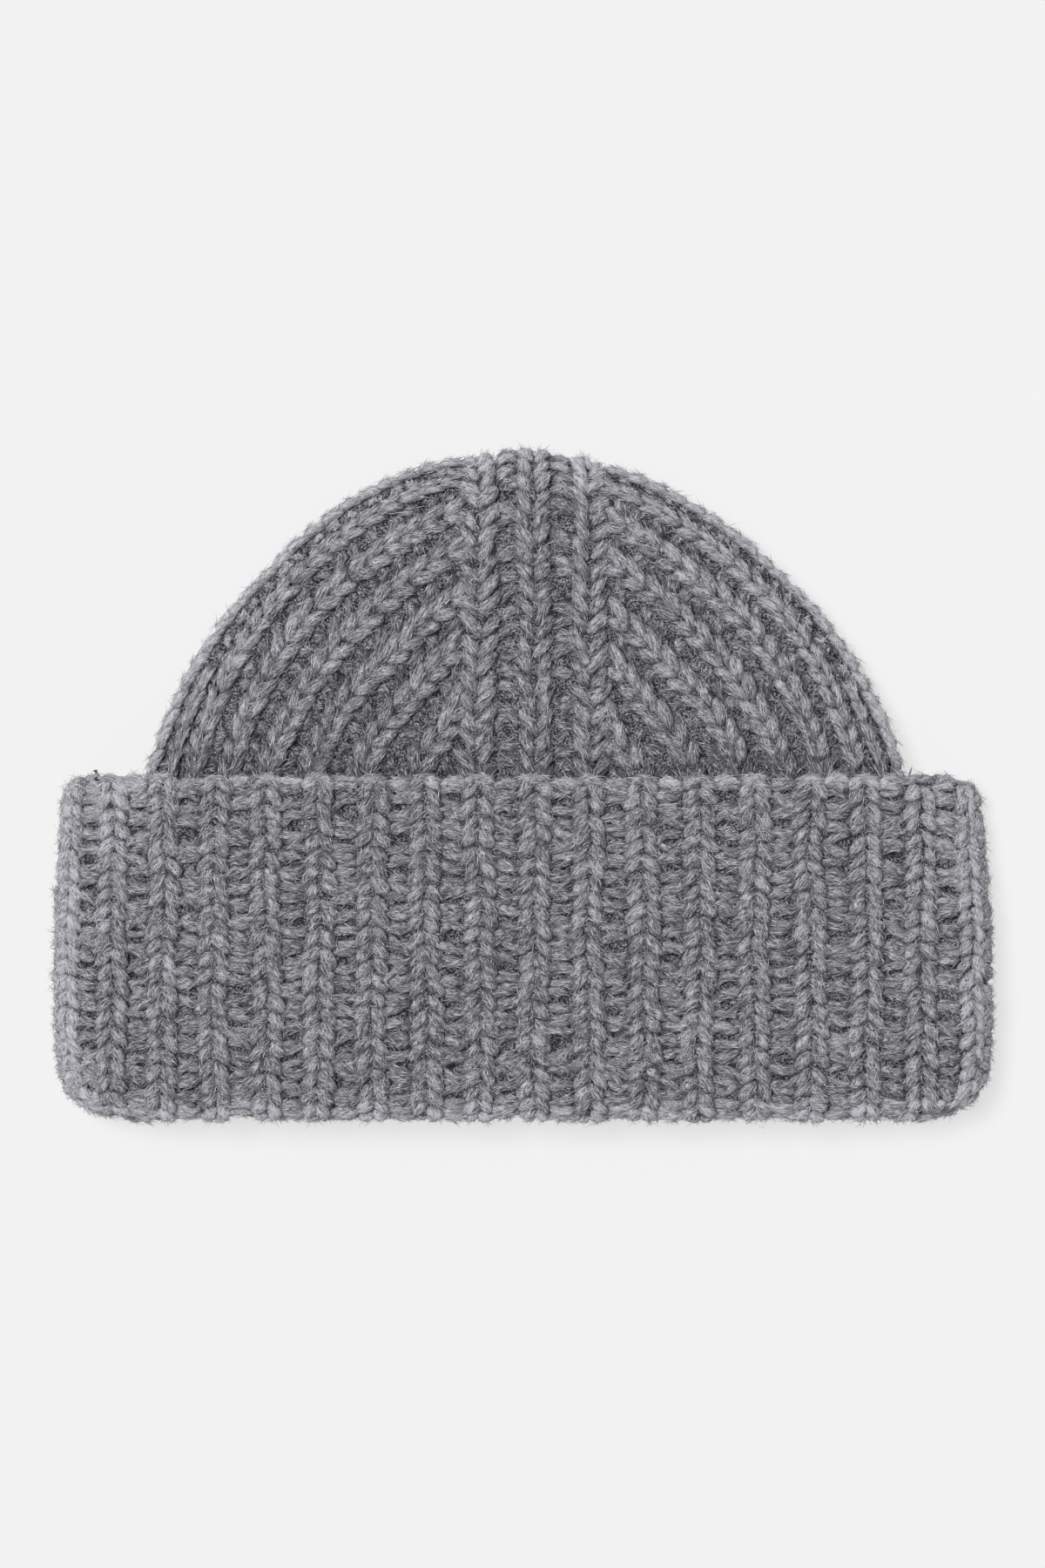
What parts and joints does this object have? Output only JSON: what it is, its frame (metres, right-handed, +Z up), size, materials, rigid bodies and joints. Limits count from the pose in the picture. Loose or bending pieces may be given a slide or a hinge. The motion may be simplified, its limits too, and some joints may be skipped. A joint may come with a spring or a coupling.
{
  "type": "chunky knit beanie",
  "caption": "Ribbed chunky knit cap with a deep turned-up cuff, lying flat on its back with the mouth open.",
  "frame": {"origin": "bottom centre of the bounding box: the floor that the cap lies on, below the middle of its length and width", "axes": "+Z up from the floor, out of the cap's front; +Y towards the top of the crown; -Y out of the mouth; +X to the right as seen from above"},
  "size_m": [0.2495, 0.1784, 0.0306],
  "materials": {
    "knit": "heathered mid-grey chunky wool, matt and slightly fuzzy",
    "cuff_knit": "heathered mid-grey chunky wool, matt and slightly fuzzy"
  },
  "bodies": {
    "root": {"crown": "knit", "cuff": "cuff_knit"}
  },
  "joints": []
}
